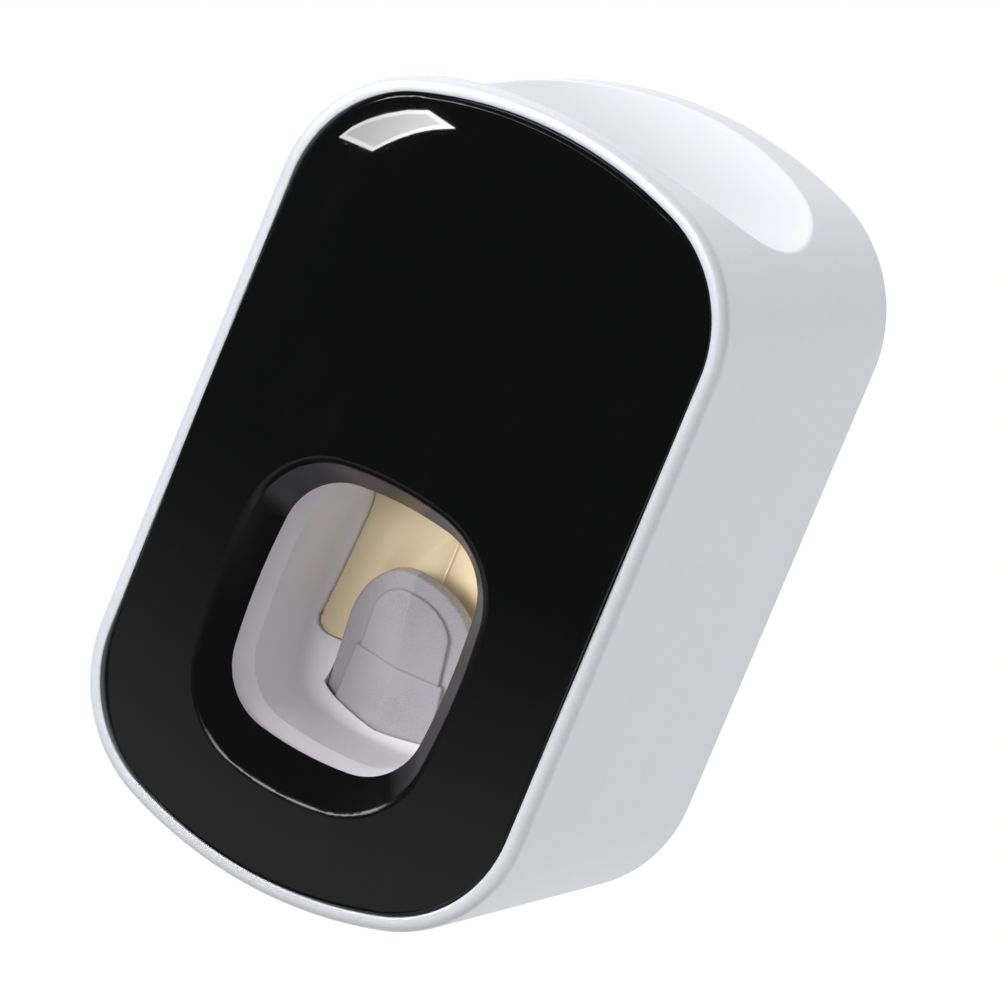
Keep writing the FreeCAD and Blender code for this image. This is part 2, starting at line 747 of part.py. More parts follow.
def make_brush_chamber():
    outer = mouth_outline.grown(chamber_wall).prism(chamber_front_y, chamber_outer_y)
    outer = rounded(outer, chamber_blend + chamber_wall, in_plane_y(chamber_outer_y))
    inner = chamber_room(0)
    mouth = Part.makeLoft([mouth_outline.wire(chamber_front_y),
                           throat_outline.wire(chamber_front_y + mouth_depth)], True, True)
    flange_outline = mouth_outline.grown(chamber_wall + flange_margin)
    body = outer.fuse(flange_outline.prism(flange_front_y, flange_back_y))
    for x, z in pairs(ear_x, ear_low_z, ear_high_z):
        ear = rod(ear_radius, Vector(x, flange_front_y, z), Vector(x, flange_back_y, z))
        inner_x = math.copysign(mouth_outline.half_width, x)
        web = block(Vector(min(x, inner_x), flange_front_y, z - ear_radius),
                    Vector(max(x, inner_x), flange_back_y, z + ear_radius))
        body = body.fuse([ear, web])
    for x, z in pairs(post_x, post_low_z, post_high_z):
        post = rod(post_radius, Vector(x, flange_front_y, z), Vector(x, frame_front_y, z))
        inner_x = math.copysign(mouth_outline.half_width, x)
        web = block(Vector(min(x, inner_x), flange_front_y, z - post_radius),
                    Vector(max(x, inner_x), flange_back_y, z + post_radius))
        body = body.fuse([post, web])
    for sign in (-1, 1):
        near_x = sign * (lever_half_width + lever_side_gap)
        far_x = near_x + sign * lug_thickness
        lug = rod(lug_radius, Vector(near_x, pivot_y, pivot_z), Vector(far_x, pivot_y, pivot_z))
        stem = block(Vector(min(near_x, far_x), chamber_back_y - chamber_blend, pivot_z),
                     Vector(max(near_x, far_x), pivot_y + lug_radius, pivot_z + lug_rise))
        body = body.fuse(lug.fuse(stem))
    rib_low_z = pivot_z - spring_coil_radius + spring_wire_radius + spring_gap
    rib_y = pivot_y - spring_rib_reach
    rib = block(Vector(-spring_rib_half_width, rib_y, rib_low_z),
                Vector(spring_rib_half_width, rib_y + spring_rib_thickness, chamber_low_z + chamber_wall))
    body = body.fuse(rib)
    pin_reach = lever_half_width + lever_side_gap + lug_thickness + overrun
    pin_hole = rod(pin_radius + pin_clearance, Vector(-pin_reach, pivot_y, pivot_z),
                   Vector(pin_reach, pivot_y, pivot_z))
    nozzle_hole = rod(nozzle_outer_radius + nozzle_hole_gap, Vector(0, nozzle_y, window_center_z),
                      Vector(0, nozzle_y, top_z))
    cuts = [inner, mouth, lever_slot(), back_opening(0, chamber_outer_y + overrun), pin_hole, nozzle_hole]
    for x, z in pairs(ear_x, ear_low_z, ear_high_z):
        cuts.append(rod(pilot_radius, Vector(x, flange_front_y, z), Vector(x, flange_back_y, z)))
    for x, z in pairs(post_x, post_low_z, post_high_z):
        deep = frame_back_y - screw_bite - screw_pilot_spare
        cuts.append(rod(pilot_radius, Vector(x, deep, z), Vector(x, frame_back_y, z)))
    return body.cut(Part.makeCompound(cuts))


def make_push_lever():
    half = lever_half_width
    foot = fold_bar(0, half, fold_step_v, half, 0, lever_back)
    head = fold_bar(fold_step_v, half, lever_reach, half, 0, lever_back)
    plate = foot.fuse(head).common(arch_prism(half, lever_reach, lever_arch))
    wide = half + overrun
    hollow = fold_bar(hollow_v, wide, lever_reach + overrun, wide, -lever_wall, bulb_thickness)
    plate = plate.cut(hollow)
    back = field_root - lever_front
    upper = fold_bar(fold_step_v, field_step_half, field_top_v, field_top_half, field_rise, back)
    upper = upper.common(arch_prism(field_step_half, field_top_v, field_arch))
    lower = fold_bar(foot_field_low_v, foot_field_low_half, fold_step_v, foot_field_step_half,
                     foot_field_rise, back)
    rest_low = spring_rest_v - spring_rest_width / 2
    rest_depth = spring_coil_radius - spring_wire_radius - spring_gap
    rest_half = spring_rib_half_width
    rest_face = Part.Face(Part.makePolygon([
        lever_point(-rest_half, 0, rest_low), lever_point(-rest_half, -rest_depth, rest_low),
        lever_point(-rest_half, -rest_depth, rest_low + spring_rest_width),
        lever_point(-rest_half, 0, rest_low + spring_rest_width), lever_point(-rest_half, 0, rest_low)]))
    rest = rest_face.extrude(ACROSS * (2 * rest_half))
    hub = rod(hub_radius, Vector(-half, pivot_y, pivot_z), Vector(half, pivot_y, pivot_z))
    notch_reach = spring_rest_v - spring_rest_width
    notch = rod(notch_reach, Vector(-hub_inner_x, pivot_y, pivot_z), Vector(hub_inner_x, pivot_y, pivot_z))
    bore = rod(pin_radius + pin_clearance, Vector(-half - overrun, pivot_y, pivot_z),
               Vector(half + overrun, pivot_y, pivot_z))
    return plate.fuse([upper, lower, rest, hub]).cut(notch).cut(bore).removeSplitter()


def make_squeeze_pad():
    pad_back_y = bulb_front_y - pad_bulb_gap
    low = lever_point(0, -lever_back, 0)
    slope = math.tan(lever_lean)

    def lever_back_y(z):
        return low.y - (z - low.z) * slope

    start = -pad_half_width
    corners = [Vector(start, lever_back_y(pad_low_z), pad_low_z), Vector(start, pad_back_y, pad_low_z),
               Vector(start, pad_back_y, pad_high_z), Vector(start, lever_back_y(pad_high_z), pad_high_z),
               Vector(start, lever_back_y(pad_low_z), pad_low_z)]
    pad = Part.Face(Part.makePolygon(corners)).extrude(ACROSS * (2 * pad_half_width))
    return rounded(pad, pad_round, in_plane_y(pad_back_y))


def make_lever_pin():
    reach = lever_half_width + lever_side_gap + lug_thickness + pin_proud
    pin = rod(pin_radius, Vector(-reach, pivot_y, pivot_z), Vector(reach, pivot_y, pivot_z))
    return pin.makeChamfer(pin_proud / 2, [edge for edge in pin.Edges if edge.Closed])


def make_return_spring():
    """A torsion spring round the pin: one leg lies under the chamber's rib, the other behind the lever."""
    first = -math.pi / 2
    last = lever_lean + 2 * math.pi * spring_turns
    half_length = spring_pitch * (last - first) / (4 * math.pi)

    def coil_point(turn):
        x = -half_length + spring_pitch * (turn - first) / (2 * math.pi)
        return Vector(x, pivot_y + spring_coil_radius * math.cos(turn),
                      pivot_z + spring_coil_radius * math.sin(turn))

    def heading(turn):
        way = Vector(spring_pitch / (2 * math.pi), -spring_coil_radius * math.sin(turn),
                     spring_coil_radius * math.cos(turn))
        way.normalize()
        return way

    quarter_count = math.ceil((last - first) / (math.pi / 2))
    step = (last - first) / quarter_count
    edges = [Part.LineSegment(coil_point(first) - heading(first) * spring_leg, coil_point(first)).toShape()]
    for index in range(quarter_count):
        turn = first + index * step
        arc = Part.Arc(coil_point(turn), coil_point(turn + step / 2), coil_point(turn + step))
        edges.append(arc.toShape())
    edges.append(Part.LineSegment(coil_point(last), coil_point(last) + heading(last) * spring_leg).toShape())
    start = coil_point(first) - heading(first) * spring_leg
    section = Part.Wire([Part.Circle(start, heading(first), spring_wire_radius).toShape()])
    return Part.Wire(edges).makePipeShell([section], True, False)


def make_pump_bulb():
    outer = rounded(bulb_outline.prism(bulb_front_y, bulb_back_y), bulb_round, in_plane_y(bulb_front_y))
    outer = rounded(outer, bulb_round, in_plane_y(bulb_back_y))
    inner_front = bulb_front_y + bulb_wall
    inner_back = bulb_back_y - bulb_wall
    inner_round = bulb_round - bulb_wall
    inner = bulb_outline.grown(-bulb_wall).prism(inner_front, inner_back)
    inner = rounded(rounded(inner, inner_round, in_plane_y(inner_front)), inner_round, in_plane_y(inner_back))
    neck_low = Vector(0, bulb_mid_y, bulb_high_z - bulb_wall)
    neck_top = Vector(0, bulb_mid_y, bulb_neck_top_z)
    spout_end = Vector(0, bulb_spout_y, bulb_spout_z)
    spout_root = Vector(0, inner_front, bulb_spout_z)
    body = outer.fuse([rod(bulb_neck_radius, neck_low, neck_top),
                       rod(bulb_spout_radius, spout_end, spout_root), bulb_boss()])
    duct_stop = Vector(0, bulb_mid_y, bulb_neck_top_z - duct_plug)
    nozzle_stop = Vector(0, bulb_spout_y + nozzle_plug, bulb_spout_z)
    return body.cut(Part.makeCompound([
        inner, rod(bulb_neck_bore, duct_stop, neck_top),
        rod(duct_inner_radius, neck_low - UP * bulb_wall, neck_top),
        rod(bulb_spout_bore, spout_end, nozzle_stop),
        rod(nozzle_inner_radius, spout_end, spout_root + INWARD * bulb_wall)]))


def make_neck_clip():
    low = bulb_high_z + (bulb_neck_height - neck_clip_height) / 2
    inner = bulb_neck_radius + screw_clearance
    clip = tube(inner + neck_clip_wall, inner, Vector(0, bulb_mid_y, low),
                Vector(0, bulb_mid_y, low + neck_clip_height))
    gap = block(Vector(0, bulb_mid_y - neck_clip_wall, low - overrun),
                Vector(inner + overrun, bulb_mid_y + neck_clip_wall, low + neck_clip_height + overrun))
    return clip.cut(gap)


def make_feed_duct():
    flange_low = boss_low_z - duct_flange
    start = socket_axis(flange_low)
    offset = bulb_mid_y - dish_y
    end = Vector(0, bulb_mid_y, bulb_neck_top_z)
    plug_end = end - UP * duct_plug
    flange = rod(duct_flange_radius, start, socket_axis(boss_low_z))
    plug = rod(duct_outer_radius, plug_end, end)
    body = slow_turn(offset, duct_drop, start, duct_outer_radius).fuse([flange, plug])
    cup = rod(valve_radius + seat_clearance, socket_axis(boss_low_z - duct_cup_depth),
              socket_axis(boss_low_z))
    bore = [slow_turn(offset, duct_drop, start, duct_inner_radius),
            rod(duct_inner_radius, plug_end - UP * overrun, end),
            rod(duct_inner_radius, start, socket_axis(boss_low_z)),
            cup]
    for x, y in duct_screw_places:
        bore.append(rod(pilot_radius, Vector(x, y, flange_low), Vector(x, y, boss_low_z)))
    for cut in bore:
        body = body.cut(cut)
    return body


def make_inlet_valve():
    low = boss_low_z - duct_cup_depth
    disc = rod(valve_radius, socket_axis(low), socket_axis(low + valve_thickness))
    slit = tube(valve_flap_radius + valve_slit, valve_flap_radius, socket_axis(low - overrun),
                socket_axis(low + overrun))
    hinge = block(Vector(-valve_flap_radius / 2, dish_y, low - overrun),
                  Vector(valve_flap_radius / 2, dish_y + valve_radius, low + overrun))
    return disc.cut(slit.cut(hinge))


def make_socket_ring():
    flange = rod(socket_flange_radius, socket_axis(socket_seat_z), socket_axis(dish_floor_z))
    flange = rounded(flange, socket_edge_round, in_plane_z(dish_floor_z))
    ring = flange.fuse(rod(barrel_radius, socket_axis(boss_low_z), socket_axis(socket_seat_z)))
    return ring.cut(rod(socket_bore_radius, socket_axis(boss_low_z), socket_axis(dish_floor_z)))


def make_inlet_seal():
    top = dish_floor_z - seal_lip_drop
    seal = rod(socket_bore_radius - screw_clearance, socket_axis(boss_low_z), socket_axis(top))
    seal = seal.cut(rod(neck_bore_radius, socket_axis(boss_low_z), socket_axis(top)))
    at_top = in_plane_z(top)
    rims = [edge for edge in seal.Edges if edge.Closed and edge.BoundBox.XMax < neck_bore_radius + closeness
            and at_top(edge.BoundBox.Center, edge.BoundBox.Center)]
    return seal.makeChamfer(neck_lead_in, rims)


def make_nozzle():
    tip = Vector(0, nozzle_y, nozzle_tip_z)
    knee_low = Vector(0, nozzle_y, bulb_spout_z - nozzle_bend)
    knee_high = Vector(0, nozzle_y + nozzle_bend, bulb_spout_z)
    turn = nozzle_bend * (1 - math.cos(math.pi / 4))
    middle = Vector(0, nozzle_y + turn, bulb_spout_z - turn)
    end = Vector(0, bulb_spout_y + nozzle_plug, bulb_spout_z)
    path = Part.Wire([Part.LineSegment(tip, knee_low).toShape(),
                      Part.Arc(knee_low, middle, knee_high).toShape(),
                      Part.LineSegment(knee_high, end).toShape()])

    def bar(radius):
        section = Part.Wire([Part.Circle(tip, UP, radius).toShape()])
        return path.makePipeShell([section], True, False)

    collar = rod(nozzle_collar_radius, Vector(0, bulb_spout_y - nozzle_collar, bulb_spout_z),
                 Vector(0, bulb_spout_y, bulb_spout_z))
    return bar(nozzle_outer_radius).fuse(collar).cut(bar(nozzle_inner_radius))


def make_tip_valve():
    low = nozzle_tip_z - tip_valve_flange
    body = rod(nozzle_outer_radius, Vector(0, nozzle_y, low), Vector(0, nozzle_y, nozzle_tip_z))
    body = body.fuse(rod(nozzle_inner_radius - screw_clearance, Vector(0, nozzle_y, nozzle_tip_z),
                         Vector(0, nozzle_y, nozzle_tip_z + tip_valve_plug)))
    bore = rod(tip_valve_bore_radius, Vector(0, nozzle_y, nozzle_tip_z - tip_valve_flange / 2),
               Vector(0, nozzle_y, nozzle_tip_z + tip_valve_plug))
    half = nozzle_inner_radius
    thin = tip_valve_slit / 2
    slits = [block(Vector(-half, nozzle_y - thin, low), Vector(half, nozzle_y + thin, nozzle_tip_z)),
             block(Vector(-thin, nozzle_y - half, low), Vector(thin, nozzle_y + half, nozzle_tip_z))]
    return body.cut(bore).cut(slits[0]).cut(slits[1])


def make_pump_frame():
    body = slab(frame_low_z, frame_high_z, frame_corner, frame_half_width).prism(frame_front_y, frame_back_y)
    rail_front_y = frame_front_y - frame_rail_height
    rail = bulb_outline.grown(frame_rail_gap + frame_rail_wall).prism(rail_front_y, frame_front_y)
    rail = rail.cut(bulb_outline.grown(frame_rail_gap).prism(rail_front_y, frame_front_y))
    above = block(Vector(-housing_width, frame_front_y - housing_depth, frame_high_z - frame_corner),
                  Vector(housing_width, frame_back_y, frame_high_z + housing_height))
    body = body.fuse(rail.cut(above))
    for x, z in pairs(post_x, post_low_z, post_high_z):
        ear = rod(frame_ear_radius, Vector(x, frame_front_y, z), Vector(x, frame_back_y, z))
        web = block(Vector(min(x, 0), frame_front_y, z - frame_ear_radius),
                    Vector(max(x, 0), frame_back_y, z + frame_ear_radius))
        body = body.fuse([ear, web])
    holes = [rod(pilot_radius, Vector(x, frame_front_y - overrun, z), Vector(x, frame_back_y + overrun, z))
             for x, z in pairs(post_x, post_low_z, post_high_z)]
    return body.cut(Part.makeCompound(holes)).removeSplitter()


def make_back_cover():
    body = cover_outline.prism(cover_front_y, cover_back_y)
    cuts = [rod(pilot_radius, Vector(x, cover_front_y, z), Vector(x, cover_back_y, z))
            for x, z in pairs(cover_screw_x, -cover_screw_z, cover_screw_z)]
    half = hook_width / 2 + hook_side_gap
    low_z = hook_low_z - lift_travel - lift_spare
    high_z = hook_low_z + hook_stem + hook_rest_gap
    for sign in (-1, 1):
        cuts.append(block(Vector(sign * hook_x - half, cover_front_y, low_z),
                          Vector(sign * hook_x + half, cover_back_y, high_z)))
    return body.cut(Part.makeCompound(cuts))


def make_wall_plate():
    body = slab(plate_low_z, plate_high_z, plate_corner, plate_half_width).prism(plate_front_y, plate_back_y)
    lip_back_y = cover_front_y - hook_gap
    lip_front_y = lip_back_y - hook_lip
    top = hook_low_z + hook_stem
    for sign in (-1, 1):
        low_x = sign * hook_x - hook_width / 2
        high_x = sign * hook_x + hook_width / 2
        stem = block(Vector(low_x, lip_front_y, hook_low_z), Vector(high_x, plate_front_y, top))
        lip = block(Vector(low_x, lip_front_y, hook_low_z), Vector(high_x, lip_back_y, top + hook_lip_rise))
        hook = stem.fuse(lip).removeSplitter()
        hook = rounded(hook, hook_round, in_plane_z(top + hook_lip_rise))
        body = body.fuse(hook)
    return body


def make_adhesive_pad():
    outline = slab(plate_low_z + pad_margin, plate_high_z - pad_margin, plate_corner - pad_margin,
                   plate_half_width - pad_margin)
    return outline.prism(plate_back_y, 0)


def screws_at(places, seat_y):
    """Screws driven forwards from a seat at depth seat_y."""
    return Part.makeCompound([screw(Vector(x, seat_y, z), -INWARD, screw_bite) for x, z in places])


def make_duct_screws():
    seat_z = boss_low_z - duct_flange
    return Part.makeCompound([screw(Vector(x, y, seat_z), UP, screw_bite) for x, y in duct_screw_places])


nodes = {
    "housing": make_housing(),
    "front_panel": make_front_panel(),
    "brush_chamber": make_brush_chamber(),
    "chamber_screws": screws_at(pairs(ear_x, ear_low_z, ear_high_z), flange_back_y),
    "push_lever": make_push_lever(),
    "squeeze_pad": make_squeeze_pad(),
    "lever_pin": make_lever_pin(),
    "return_spring": make_return_spring(),
    "pump_bulb": make_pump_bulb(),
    "neck_clip": make_neck_clip(),
    "pump_frame": make_pump_frame(),
    "pump_frame_screws": screws_at(pairs(post_x, post_low_z, post_high_z), frame_back_y),
    "feed_duct": make_feed_duct(),
    "duct_screws": make_duct_screws(),
    "inlet_valve": make_inlet_valve(),
    "socket_ring": make_socket_ring(),
    "inlet_seal": make_inlet_seal(),
    "outlet_nozzle": make_nozzle(),
    "nozzle_valve": make_tip_valve(),
    "back_cover": make_back_cover(),
    "back_cover_screws": screws_at(pairs(cover_screw_x, -cover_screw_z, cover_screw_z), cover_back_y),
    "wall_plate": make_wall_plate(),
    "adhesive_pad": make_adhesive_pad(),
}

os.makedirs("parts", exist_ok=True)
for name, shape in nodes.items():
    shape.exportStep(f"parts/{name}.step")
    print(name, "valid", shape.isValid(), "solids", len(shape.Solids), "volume", round(shape.Volume, 1))
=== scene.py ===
# %% [markdown]
# # A wall-hung toothpaste dispenser, dressed in Blender
# The construction comes from CAD: a bowed silver shell, a domed black front with a flared
# window, a lilac lining with a folded push lever, and a soft pump behind it. Here each surface
# gets its finish, the soft and wound pieces are modelled again as what they are, and a small
# studio is set up round the object. Everything is in metres, in the same frame as the CAD:
# +Z is up, the front faces -Y and the wall is at y = 0.

# %% Load the frame
import json
import math

import bmesh
import bpy
from mathutils import Euler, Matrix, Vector


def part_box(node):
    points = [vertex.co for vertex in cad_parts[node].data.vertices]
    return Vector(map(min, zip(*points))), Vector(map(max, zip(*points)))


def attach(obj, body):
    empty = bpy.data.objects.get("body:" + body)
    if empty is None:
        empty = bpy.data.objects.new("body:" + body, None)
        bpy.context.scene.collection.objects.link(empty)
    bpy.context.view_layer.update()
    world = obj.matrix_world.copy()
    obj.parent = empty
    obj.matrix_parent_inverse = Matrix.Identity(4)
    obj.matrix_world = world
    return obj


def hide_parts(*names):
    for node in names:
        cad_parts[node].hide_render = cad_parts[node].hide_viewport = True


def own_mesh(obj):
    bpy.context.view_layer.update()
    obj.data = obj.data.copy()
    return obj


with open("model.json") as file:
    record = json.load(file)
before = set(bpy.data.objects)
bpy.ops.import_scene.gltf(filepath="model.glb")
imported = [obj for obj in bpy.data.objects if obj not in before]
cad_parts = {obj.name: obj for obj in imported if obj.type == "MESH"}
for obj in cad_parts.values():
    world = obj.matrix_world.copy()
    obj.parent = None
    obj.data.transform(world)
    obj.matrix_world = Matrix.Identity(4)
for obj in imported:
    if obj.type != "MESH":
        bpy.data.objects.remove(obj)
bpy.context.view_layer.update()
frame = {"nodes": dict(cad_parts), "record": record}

# %% [markdown]
# ## The camera
# The photograph looks at the front from the right and a little above, with a long lens, and the
# camera is rolled, so that the object leans to the right in the picture. An empty or a track
# constraint could aim the camera, but plain angles say more: azimuth and elevation give where it
# stands, and the roll turns it about its own line of sight.

# %% Camera
MM = 0.001
aim_point = Vector((1.763, -29.0, -0.034)) * MM
azimuth = math.radians(21.265)
elevation = math.radians(12.731)
roll = math.radians(22.468)
camera_distance = 836.15 * MM
sensor_width_mm = 36.0
focal_length_mm = 228.997

sight = Vector((math.sin(azimuth) * math.cos(elevation),
                -math.cos(azimuth) * math.cos(elevation),
                math.sin(elevation)))
camera_data = bpy.data.cameras.new("photo_camera")
camera_data.sensor_fit = "HORIZONTAL"
camera_data.sensor_width = sensor_width_mm
camera_data.lens = focal_length_mm
camera_data.clip_start = 10 * MM
camera_data.clip_end = 100
camera = bpy.data.objects.new("photo_camera", camera_data)
bpy.context.collection.objects.link(camera)
camera.location = aim_point + sight * camera_distance
level = Euler((math.pi / 2 - elevation, 0, azimuth)).to_matrix()
camera.rotation_euler = (level @ Euler((0, 0, roll)).to_matrix()).to_euler()
bpy.context.scene.camera = camera
bpy.context.scene.view_settings.view_transform = "Standard"
print("camera at", [round(value, 4) for value in camera.location])

# %% [markdown]
# ## Writing shader maths as sums
# A finish is a small graph of nodes. Wiring it one link at a time hides the idea, so a `Term`
# stands for one socket and answers to +, - and *, each of which adds a Math node. `Nodes`
# holds a graph and makes every other node in one way: its kind, its settings, and what goes into
# its sockets.

# %% Node helpers
class Term:
    """A value on its way along a link; sums and products of it add Math nodes."""

    def __init__(self, nodes, socket):
        self.nodes = nodes
        self.socket = socket

    def math(self, operation, first, second):
        return self.nodes.node("ShaderNodeMath", {"operation": operation}, {0: first, 1: second})

    def __add__(self, other):
        return self.math("ADD", self, other)

    def __radd__(self, other):
        return self.math("ADD", other, self)

    def __sub__(self, other):
        return self.math("SUBTRACT", self, other)

    def __rsub__(self, other):
        return self.math("SUBTRACT", other, self)

    def __mul__(self, other):
        return self.math("MULTIPLY", self, other)

    def __rmul__(self, other):
        return self.math("MULTIPLY", other, self)


class Nodes:
    """A node graph that starts empty."""

    def __init__(self, tree):
        self.tree = tree
        tree.nodes.clear()

    def node(self, kind, settings, sockets, output=0):
        made = self.tree.nodes.new(kind)
        for name, value in settings.items():
            setattr(made, name, value)
        for name, value in sockets.items():
            if isinstance(value, Term):
                self.tree.links.new(value.socket, made.inputs[name])
            else:
                made.inputs[name].default_value = value
        return Term(self, made.outputs[output]) if made.outputs else None

    def mix(self, share, first, second):
        """From the first colour to the second as share goes from 0 to 1."""
        return self.node("ShaderNodeMix", {"data_type": "RGBA"}, {0: share, 6: first, 7: second},
                         output=2)

    def vector(self, operation, first, second=(0, 0, 0), output=0):
        return self.node("ShaderNodeVectorMath", {"operation": operation}, {0: first, 1: second},
                         output=output)

    def step(self, value, low, high):
        """0 below low, 1 above high, and a soft rise between."""
        return self.node("ShaderNodeMapRange", {"interpolation_type": "SMOOTHSTEP"},
                         {"Value": value, "From Min": low, "From Max": high})


def grey(value):
    return (value, value, value, 1)


# %% [markdown]
# ## Helpers for the finishes
# Every plastic here is one Principled shader. What differs is its colour, how much that colour
# wanders, its gloss and the grain of the mould. So one function builds the graph: a slow noise
# carries the drift of the colour, a fine one carries the grain, and a Bump node turns the grain
# into tiny tilts of the surface. No mould leaves a knife edge, so a Bevel node bends the normal near
# every edge, which makes it catch the light. Scales are counted per metre, as all coordinates are.

# %% Parts of a finish
def finish_graph(name):
    material = bpy.data.materials.new(name)
    material.use_nodes = True
    return material, Nodes(material.node_tree)


def place(nodes, stretch=(1, 1, 1), turn=(0, 0, 0)):
    """Object coordinates, stretched and turned about the origin."""
    coordinates = nodes.node("ShaderNodeTexCoord", {}, {}, output=3)
    return nodes.node("ShaderNodeMapping", {},
                      {"Vector": coordinates, "Rotation": turn, "Scale": stretch})


def noise(nodes, where, scale, detail=2.0, roughness=0.5):
    return nodes.node("ShaderNodeTexNoise", {},
                      {"Vector": where, "Scale": scale, "Detail": detail, "Roughness": roughness})


def bump(nodes, height, depth, **sockets):
    return nodes.node("ShaderNodeBump", {}, {"Distance": depth, "Height": height, **sockets})


def close(nodes, shader):
    nodes.node("ShaderNodeOutputMaterial", {}, {"Surface": shader})


# %% A moulded finish
drift_scale = 90.0
mould_edge = 0.2 * MM


def moulded(name, light, dark, gloss, gloss_drift, grain_scale, grain_depth, edge=mould_edge,
            **constants):
    """A plastic or rubber: two near colours, a gloss that drifts, the mould's grain, soft edges."""
    material, nodes = finish_graph(name)
    where = place(nodes)
    drift = noise(nodes, where, drift_scale, detail=4.0)
    grain = noise(nodes, where, grain_scale, detail=3.0, roughness=0.6)
    rounded = nodes.node("ShaderNodeBevel", {"samples": 4}, {"Radius": edge})
    close(nodes, nodes.node("ShaderNodeBsdfPrincipled", {}, {
        "Base Color": nodes.mix(nodes.step(drift * 0.75 + grain * 0.25, 0.35, 0.65), dark, light),
        "Roughness": gloss + (drift - 0.5) * gloss_drift + (grain - 0.5) * gloss_drift,
        "Normal": bump(nodes, grain, grain_depth, Normal=rounded), **constants}))
    return material


finishes = {}

# %% [markdown]
# ## Silver paint
# The shell is moulded plastic under a satin silver paint: fine metal flakes in a clear binder.
# A pure metal shader would look like foil. Here the metal share is about a third, each flake cell
# gets its own brightness from a Voronoi texture, and a thin coat lies on top. The dish in the top is
# painted paler, nearly white: painted light, standing in for the light that falls into it from above.
# It is the cap of a ball, so a spot's place in that ball tells if it is dish.

# %% Silver shell
flakes_per_metre = 5200.0
paint_peel_depth = 0.006 * MM
shell_edge = 0.5 * MM
dish_middle = (0, -31.4 * MM, 84.4 * MM)
dish_half_axes = (56.6 * MM, 33.15 * MM, 42.0 * MM)
# Painted light: the dish's pale colour stands in for the light it catches from above.
dish_painted_light_color = (0.812, 0.825, 0.885, 1)
material, nodes = finish_graph("silver_paint")
where = place(nodes)
drift = noise(nodes, where, 60.0, detail=3.0)
flakes = nodes.node("ShaderNodeTexVoronoi", {}, {"Vector": where, "Scale": flakes_per_metre}, output=1)
sparkle = nodes.node("ShaderNodeSeparateColor", {}, {"Color": flakes})
peel = noise(nodes, where, 900.0, detail=2.0)
rounded = nodes.node("ShaderNodeBevel", {"samples": 6}, {"Radius": shell_edge})
color = nodes.mix(sparkle * 0.5 + drift * 0.5, (0.640, 0.660, 0.705, 1), (0.730, 0.750, 0.790, 1))
reach = nodes.vector("DIVIDE", nodes.vector("SUBTRACT", where, dish_middle), dish_half_axes)
outside_painted_light = nodes.step(nodes.vector("DOT_PRODUCT", reach, reach, output=1), 1.003, 1.012)
# Inside the dish the paint colour gives way to the painted-light colour.
color = nodes.mix(outside_painted_light, dish_painted_light_color, color)
close(nodes, nodes.node("ShaderNodeBsdfPrincipled", {}, {
    "Base Color": color, "Metallic": 0.35, "Roughness": 0.36 + sparkle * 0.10 + (drift - 0.5) * 0.06,
    "Coat Weight": 0.25, "Coat Roughness": 0.22,
    "Normal": bump(nodes, peel * 0.7 + sparkle * 0.3, paint_peel_depth, Normal=rounded)}))
finishes["silver_shell"] = material
print("silver paint:", len(material.node_tree.nodes), "nodes")

# %% [markdown]
# ## Piano black
# The front is a gloss black moulding. A black like this is nearly all reflection: the colour is
# close to zero and what one sees is the room. What tells it from a perfect mirror is a very slight
# waviness from the mould and a few wiped-off smears, which show in the roughness. A mirror also
# shows every flat of a mesh, and the front is the cap of a large ball, so wherever the surface lies
# along that ball the shader takes its normal from the ball itself. The flare round the window is a
# little duller, so the same share also sets the gloss.

# %% The ball's own normal
dome_middle = (0, -31.2 * MM, 0)
dome_half_axes = (67.71 * MM, 30.0 * MM, 114.68 * MM)


def dome_normal(nodes):
    """The normal, which on the dome is the exact one, and how much of it is the dome's."""
    spot = nodes.node("ShaderNodeTexCoord", {}, {}, output=3)
    scales = tuple(MM ** 2 / half ** 2 for half in dome_half_axes)
    exact = nodes.vector("MULTIPLY", nodes.vector("SUBTRACT", spot, dome_middle), scales)
    to_world = {"vector_type": "NORMAL", "convert_from": "OBJECT", "convert_to": "WORLD"}
    exact = nodes.node("ShaderNodeVectorTransform", to_world,
                       {"Vector": nodes.vector("NORMALIZE", exact)})
    meshed = nodes.node("ShaderNodeNewGeometry", {}, {}, output=1)
    share = nodes.step(nodes.vector("DOT_PRODUCT", exact, meshed, output=1), 0.985, 0.997)
    normal = nodes.node("ShaderNodeMix", {"data_type": "VECTOR"}, {0: share, 4: meshed, 5: exact},
                        output=1)
    return normal, share


# %% Gloss black
mould_wave_depth = 0.0008 * MM
flare_dullness = 0.16
material, nodes = finish_graph("piano_black")
where = place(nodes)
wave = noise(nodes, where, 130.0, detail=1.0)
normal, on_dome = dome_normal(nodes)
smear = noise(nodes, place(nodes, stretch=(1, 1, 0.25), turn=(0, 0.5, 0)), 210.0, detail=5.0)
dust = noise(nodes, where, 2600.0, detail=1.0)
gloss = 0.015 + nodes.step(smear, 0.52, 0.85) * 0.02 + nodes.step(dust, 0.70, 0.8) * 0.03
color = nodes.mix(nodes.step(smear, 0.5, 0.8), (0.0010, 0.0011, 0.0011, 1), (0.0016, 0.0016, 0.0017, 1))
close(nodes, nodes.node("ShaderNodeBsdfPrincipled", {}, {
    "Base Color": color, "Roughness": gloss + (1 - on_dome) * flare_dullness, "IOR": 1.5,
    "Normal": bump(nodes, wave, mould_wave_depth, Normal=normal)}))
finishes["gloss_black"] = material
print("piano black:", len(material.node_tree.nodes), "nodes")
